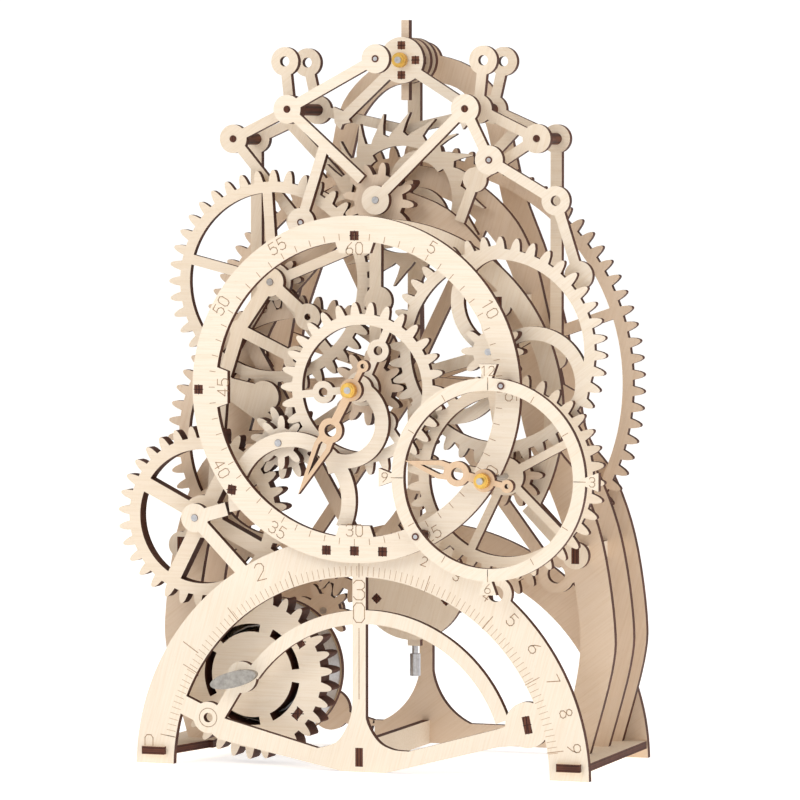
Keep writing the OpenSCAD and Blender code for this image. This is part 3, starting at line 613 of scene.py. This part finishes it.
# %% Digits
nine = [(0.1, 0), (0.45, 0.35), (0.6, 0.65), (0.6, 0.85), (0.45, 1), (0.15, 1), (0, 0.85),
        (0, 0.62), (0.15, 0.48), (0.45, 0.48), (0.58, 0.6)]
DIGITS = {
    "0": [[(0.15, 0), (0.45, 0), (0.6, 0.2), (0.6, 0.8), (0.45, 1), (0.15, 1), (0, 0.8),
           (0, 0.2), (0.15, 0)]],
    "1": [[(0.1, 0.8), (0.35, 1), (0.35, 0)]],
    "2": [[(0, 0.8), (0.12, 0.96), (0.3, 1), (0.5, 0.95), (0.6, 0.75), (0.52, 0.52), (0, 0),
           (0.6, 0)]],
    "3": [[(0, 0.85), (0.15, 1), (0.45, 1), (0.6, 0.85), (0.6, 0.65), (0.45, 0.52), (0.2, 0.52)],
          [(0.45, 0.52), (0.6, 0.38), (0.6, 0.15), (0.45, 0), (0.15, 0), (0, 0.15)]],
    "4": [[(0.45, 0), (0.45, 1), (0, 0.3), (0.6, 0.3)]],
    "5": [[(0.55, 1), (0.08, 1), (0.04, 0.55), (0.2, 0.62), (0.42, 0.6), (0.6, 0.42),
           (0.6, 0.18), (0.45, 0), (0.15, 0), (0, 0.12)]],
    "6": [[(0.6 - x, 1 - y) for x, y in nine]],
    "7": [[(0, 1), (0.6, 1), (0.2, 0)]],
    "8": [[(0.3, 0.53), (0.08, 0.65), (0.05, 0.85), (0.2, 1), (0.4, 1), (0.55, 0.85),
           (0.52, 0.65), (0.3, 0.53), (0.05, 0.38), (0, 0.15), (0.15, 0), (0.45, 0),
           (0.6, 0.15), (0.55, 0.38), (0.3, 0.53)]],
    "9": [nine],
}


def number_lines(text, centre, height, up):
    """The strokes of a number, centred on a point and standing along the angle up."""
    side = Vector((math.sin(up), -math.cos(up)))
    rise = Vector((math.cos(up), math.sin(up)))
    wide = 0.6 * len(text) + 0.28 * (len(text) - 1)
    strokes = []
    for place, digit in enumerate(text):
        for stroke in DIGITS[digit]:
            strokes.append([Vector(centre) + height * ((0.88 * place + x - wide / 2) * side
                                                       + (y - 0.5) * rise)
                            for x, y in stroke])
    return strokes


def draw(name, lines, face_y, width, material, body="frame", proud=0.04):
    """Each line becomes a flat ribbon just in front of the face."""
    ribbon = bmesh.new()
    for line in lines:
        for start, end in zip(line, line[1:]):
            along = (Vector(end) - Vector(start)).normalized() * width / 2
            across = Vector((-along.y, along.x))
            corners = [Vector(start) - along - across, Vector(end) + along - across,
                       Vector(end) + along + across, Vector(start) - along + across]
            ribbon.faces.new([ribbon.verts.new((c.x, face_y - proud * MM, c.y))
                              for c in corners])
    mesh = bpy.data.meshes.new(name)
    ribbon.to_mesh(mesh)
    ribbon.free()
    mesh.materials.append(material)
    obj = bpy.data.objects.new(name, mesh)
    bpy.context.scene.collection.objects.link(obj)
    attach(obj, body)
    return obj


def around(axis, radius, angle):
    return Vector((axis.x + radius * MM * math.cos(math.radians(angle)),
                   axis.z + radius * MM * math.sin(math.radians(angle))))


def tick_arc(name, axis, radius, count, start, step, length, width, face_y,
             material=engraved):
    return bake(name, ring_tree, {
        "Centre": (axis.x, face_y - 0.02 * MM, axis.z), "Radius": radius * MM,
        "Count": count, "Start": math.radians(start), "Step": math.radians(step),
        "Length": length * MM, "Width": width * MM, "Material": material},
        "frame")


# %% [markdown]
# ### The minute dial
# Sixty ticks stand on the inner edge, and a number stands at every five. The three
# tabs at 60, 45 and 30 carry their numbers further in. Numbers in the lower half are
# turned to stay readable.

# %% Minute dial marks
dial_face = front_of("minute_dial")
minute_ticks = tick_arc("minute_ticks", minute_axis, 56.3, 60, 90, -6, 2.4, 0.24, dial_face)
dial_numbers = []
for minute in range(5, 65, 5):
    angle = 90 - 6 * minute
    reach = 51.9 if minute in (60, 45, 30) else 60.6
    tail_in = 20 <= minute <= 40
    dial_numbers += number_lines(str(minute), around(minute_axis, reach, angle), 4.3 * MM,
                                 math.radians(angle + (180 if tail_in else 0)))
draw("minute_numbers", dial_numbers, dial_face, 0.3 * MM, engraved)
print("minute dial strokes", len(dial_numbers))

# %% [markdown]
# ### The hour dial
# The small dial has twelve ticks, of which four are longer and carry a number. All its
# numbers stand upright.

# %% Hour dial marks
hour_face = front_of("hour_dial")
tick_arc("hour_ticks", hour_axis, 33.9, 12, 90, -30, 2.6, 0.24, hour_face)
tick_arc("quarter_ticks", hour_axis, 34.9, 4, 90, -90, 4.6, 0.24, hour_face)
hour_numbers = []
for hour, angle in ((12, 90), (3, 0), (6, 270), (9, 180)):
    hour_numbers += number_lines(str(hour), around(hour_axis, 39.6, angle), 3.4 * MM,
                                 math.radians(90))
draw("hour_numbers", hour_numbers, hour_face, 0.26 * MM, engraved)
print("hour dial strokes", len(hour_numbers))

# %% [markdown]
# ### The scale on the front arch
# The arch works as a pendulum scale. Fine ticks follow its inner edge from foot to
# foot. The right half counts from 2 to 9 in small figures, the left half has 0, 1 and
# a large 2, and a tall 3 and 0 run down the centre post above a long engraved line.

# %% Arch marks
arch_face = front_of("front_arch")
arch_axis = Vector((middle_x, 0, -1.5 * MM))
tick_arc("arch_ticks", arch_axis, 76.2, 100, 171, -1.64, 3.6, 0.2, arch_face, faint)
tick_arc("arch_long_ticks", arch_axis, 77.0, 9, 171, -20.25, 6.4, 0.26, arch_face)
arch_numbers = []
for digit, angle, height in (("0", 173.6, 5.4), ("2", 117.6, 6.2), ("2", 72.4, 3.4),
                             ("3", 63.2, 3.4), ("4", 54, 3.6), ("5", 45.2, 4.6),
                             ("6", 36.3, 4.6), ("7", 27, 4.6), ("8", 18.2, 4.6),
                             ("9", 9.2, 4.8)):
    up = angle if angle < 100 else 90
    arch_numbers += number_lines(digit, around(arch_axis, 84.4, angle), height * MM,
                                 math.radians(up if digit != "2" or angle < 100 else 105))
arch_numbers += [[around(arch_axis, 77.5, 145.7), around(arch_axis, 84.5, 145.7)]]
arch_numbers += number_lines("3", (middle_x, 67.6 * MM), 7.2 * MM, math.radians(90))
arch_numbers += number_lines("0", (middle_x, 59.2 * MM), 7.2 * MM, math.radians(90))
draw("arch_numbers", arch_numbers, arch_face, 0.32 * MM, engraved)
post_line = [[Vector((middle_x, 53.4 * MM)), Vector((middle_x, 27.2 * MM))]]
draw("post_line", post_line, arch_face, 0.3 * MM, engraved)
boss = Vector((middle_x - 60 * MM, 0, 18 * MM))
boss_ring = [[around(boss, 3.5, 12 * k) for k in range(31)]]
draw("boss_ring", boss_ring, arch_face, 0.24 * MM, engraved)
print("arch strokes", len(arch_numbers))

# %% [markdown]
# ## Tenon ends
# Each tenon is two sheets side by side, cut to a square, so its end shows a dark cross.
# The places come from the loose pieces of the tie nodes.

# %% Tenon marks
CROSS_WIDTH = 0.34 * MM


def loose_parts(node):
    """The box of each loose piece of a node, as its two corners."""
    shape = bmesh.new()
    shape.from_mesh(nodes[node].data)
    bmesh.ops.remove_doubles(shape, verts=shape.verts, dist=1e-6)
    left, parts = set(shape.verts), []
    while left:
        queue, part = [left.pop()], []
        while queue:
            vert = queue.pop()
            part.append(vert.co.copy())
            for edge in vert.link_edges:
                other = edge.other_vert(vert)
                if other in left:
                    left.discard(other)
                    queue.append(other)
        parts.append([Vector(f(c[k] for c in part) for k in range(3)) for f in (min, max)])
    shape.free()
    return parts


def cross_lines(start, end):
    mid_x, mid_z = (start.x + end.x) / 2, (start.z + end.z) / 2
    return [[Vector((mid_x, start.z)), Vector((mid_x, end.z))],
            [Vector((start.x, mid_z)), Vector((end.x, mid_z))]]


for node_name, body, foremost in (("dial_ties", "frame", dial_face - 2 * MM),
                                  ("barrel_posts", "barrel", -1.0)):
    crosses = {}
    for start, end in loose_parts(node_name):
        if start.y > foremost:
            crosses.setdefault(round(start.y, 5), []).extend(cross_lines(start, end))
    for face_y, lines in crosses.items():
        draw(f"{node_name}_crosses_{len(lines)}_{round(-face_y / MM)}", lines, face_y,
             CROSS_WIDTH, joint_line, body)
    print(node_name, "tenons", sum(len(lines) for lines in crosses.values()) // 2)

# %% [markdown]
# Four pegs hold the anchor to the disc behind it. Their ends lie flush with the
# anchor's face, so each is a burnt square with a cross on it.

# %% Peg ends
PEG_REACH = 5.6 * MM
PEG_SIDE = 3.0 * MM
hub_axis = axes["pendulum_body"]
peg_fills, peg_marks = [], []
half_peg = Vector((PEG_SIDE / 2, 0, PEG_SIDE / 2))
for side_x, side_z in ((1, 0), (0, 1), (-1, 0), (0, -1)):
    peg = Vector((hub_axis.x + side_x * PEG_REACH, 0, hub_axis.z + side_z * PEG_REACH))
    peg_fills.append([Vector((peg.x - 0.01 * MM, peg.z)), Vector((peg.x + 0.01 * MM, peg.z))])
    peg_marks += cross_lines(peg - half_peg, peg + half_peg)
draw("peg_ends", peg_fills, front_of("anchor"), PEG_SIDE, peg_end, "pendulum_body")
draw("peg_marks", peg_marks, front_of("anchor"), CROSS_WIDTH, joint_line, "pendulum_body", 0.08)

# %% [markdown]
# Three slots would be filled by the end of a cross tie. A short plug closes each one.

# %% Slot plugs
plug_material = ply_material("plug_ends", middle_x, SHEET, WARM_SHADE, 0.0, 9.0, "X", 1.0, True)
PLUGS = (("plug_right_hub", "frame", "front_arch", (65.3, 20), (3, 6.5), 12),
         ("plug_bob_left", "pendulum_body", "pendulum", (-14, 59), (3, 3), 45),
         ("plug_bob_right", "pendulum_body", "pendulum", (14, 59), (3, 3), 45))
for name, body, node_name, (x, z), (wide, tall), angle in PLUGS:
    face = front_of(node_name)
    bpy.ops.mesh.primitive_cube_add(size=1)
    plug = bpy.context.object
    plug.name = name
    size = Matrix.Diagonal((wide * MM, 2.9 * MM, tall * MM, 1))
    spin = Matrix.Rotation(-math.radians(angle), 4, "Y")
    shift = Matrix.Translation((middle_x + x * MM, face + 1.5 * MM, z * MM))
    plug.data.transform(shift @ spin @ size)
    plug.data.materials.append(plug_material)
    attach(plug, body)
    marks = [[Vector((0, -tall * MM / 2)), Vector((0, tall * MM / 2))],
             [Vector((-wide * MM / 2, 0)), Vector((wide * MM / 2, 0))]]
    cosine, sine = math.cos(math.radians(angle)), math.sin(math.radians(angle))
    placed_marks = [[Vector((middle_x + x * MM + p.x * cosine - p.y * sine,
                             z * MM + p.x * sine + p.y * cosine)) for p in line]
                    for line in marks]
    draw(name + "_marks", placed_marks, face, 0.3 * MM, joint_line, body)

# %% [markdown]
# ## Pins
# Where an arm is pinned, a steel pin fills a hole that the laser has burnt.

# %% Pin rows
PIN_PROUD = 0.1 * MM


def points_mesh(name, spots):
    mesh = bpy.data.meshes.new(name)
    mesh.from_pydata([tuple(spot) for spot in spots], [], [])
    return mesh


def pin_row(name, body, places, face_y, ring=1.35, core=0.8):
    for part, radius, height, material in (("ring", ring, 0.16, burnt_ring),
                                           ("core", core, 0.34, steel)):
        spots = [(middle_x + x * MM, face_y, z * MM) for x, z in places]
        bake(f"{name}_{part}", pin_tree, {"Radius": radius * MM, "Height": height * MM,
                                          "Material": material},
             body, points_mesh(f"{name}_{part}_points", spots))


crown_face = front_of("crown_front_left")
pin_row("crown_pins_front", "frame", [(0, 263.8), (-29.6, 203), (44.4, 226.3), (0, 211.4),
                                      (-35, 245.2), (35, 245.2)], crown_face - PIN_PROUD)
pin_row("crank_pins", "frame", [(-60, 234.2), (60, 234.2)],
        front_of("crown_crank_left") - PIN_PROUD)
pin_row("arch_pins", "frame", [(-65.3, 92.7)], front_of("front_arch") - PIN_PROUD)
pin_row("bridge_pins", "frame", [(-31.9, 121.4)], front_of("front_bridge") - PIN_PROUD)
pin_row("bearing_pins", "frame", [(-41.9, 180.6)],
        front_of("bearing_plate") - PIN_PROUD)
pin_row("dial_pins", "frame", [(27, 89.1), (59.7, 144.7)], front_of("dial_ties"))
print("pinned nodes' faces from", round(crown_face / MM, 1), "mm")

# %% [markdown]
# ## Nuts
# The brass nuts that hold the hands and the pendulum are knurled. They replace the
# plain turned nuts, and are kept just shorter than them.

# %% Knurled nuts
NUT_STACK = 1.34
for node_name, body in (("hub_nut", "pendulum_body"), ("minute_nut", "minute"),
                        ("hour_nut", "hour")):
    start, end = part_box(node_name)
    centre = (start + end) / 2
    nut = bake("knurled_" + node_name, nut_tree, {
        "Centre": centre, "Radius": 2.62 * MM, "Height": (end.y - start.y) / NUT_STACK,
        "Material": brass}, body)
    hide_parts(node_name)
    print(node_name, "faces", len(nut.data.polygons))

# %% [markdown]
# ## The floor
# The clock stands on a plain pale sheet. A little light of its own keeps the sheet as
# bright as the backdrop, so no line shows where they meet.

# %% The floor
bpy.ops.mesh.primitive_plane_add(size=12, location=(0, 0, 0))
floor = bpy.context.object
floor.name = "floor"
floor_material = bpy.data.materials.new("pale_floor")
floor_material.use_nodes = True
floor_shader = floor_material.node_tree.nodes["Principled BSDF"]
floor_shader.inputs["Base Color"].default_value = (0.93, 0.93, 0.93, 1)
floor_shader.inputs["Roughness"].default_value = 0.7
floor_shader.inputs["Emission Color"].default_value = (1, 1, 1, 1)
floor_shader.inputs["Emission Strength"].default_value = 0.62
floor.data.materials.append(floor_material)
print("floor", floor.dimensions.x, "m wide")
